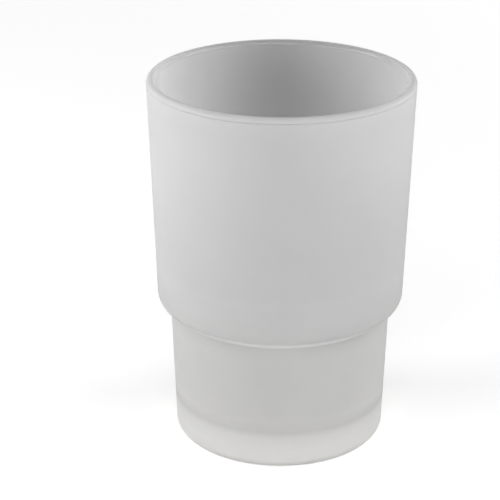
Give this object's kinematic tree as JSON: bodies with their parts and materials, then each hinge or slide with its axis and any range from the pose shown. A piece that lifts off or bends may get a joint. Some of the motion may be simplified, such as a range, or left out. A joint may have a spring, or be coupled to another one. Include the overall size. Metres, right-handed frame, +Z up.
{
  "type": "bathroom tumbler",
  "caption": "Stepped round tumbler in frosted glass, with a narrower lower body under a rounded ledge, a thick base and a full-round rim.",
  "frame": {"origin": "centre of the foot, on the surface that the tumbler stands on", "axes": "+Z up along the tumbler's round axis, towards the rim; X and Y are alike, because the tumbler is round"},
  "size_m": [0.0703, 0.0704, 0.1],
  "materials": {
    "frosted_glass": "satin, frosted all over"
  },
  "bodies": {
    "root": {"tumbler": "frosted_glass"}
  },
  "joints": []
}
